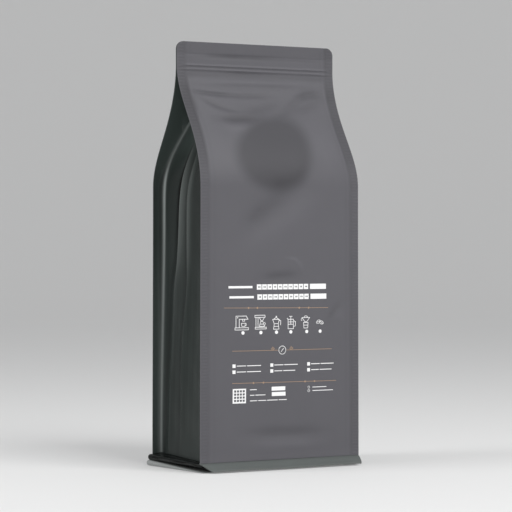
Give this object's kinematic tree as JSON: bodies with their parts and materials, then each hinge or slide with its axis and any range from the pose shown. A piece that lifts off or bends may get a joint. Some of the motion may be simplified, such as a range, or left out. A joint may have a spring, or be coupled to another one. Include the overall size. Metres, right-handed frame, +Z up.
{
  "type": "coffee bag",
  "caption": "Filled flat-bottom coffee bag with side gussets, ribbed side seals, a zip under the top seal and a flared base skirt; stands on its base.",
  "frame": {"origin": "on the table, at the middle of the bag's outline seen from above", "axes": "+Z up to the top seal, -Y out of the printed front face, +X to the right of someone who faces the front"},
  "size_m": [0.1522, 0.09, 0.326],
  "materials": {
    "matte_grey_film": "matt laminated film, purplish grey",
    "dark_green_film": "satin laminated film, greenish black",
    "sage_grey_film": "satin laminated film, sage grey",
    "white_ink": "matt white print on the face film",
    "tan_ink": "matt tan print on the face film"
  },
  "bodies": {
    "root": {"pouch": "dark_green_film", "front_panel": "matte_grey_film", "back_panel": "matte_grey_film", "base_panel": "sage_grey_film"}
  },
  "joints": []
}
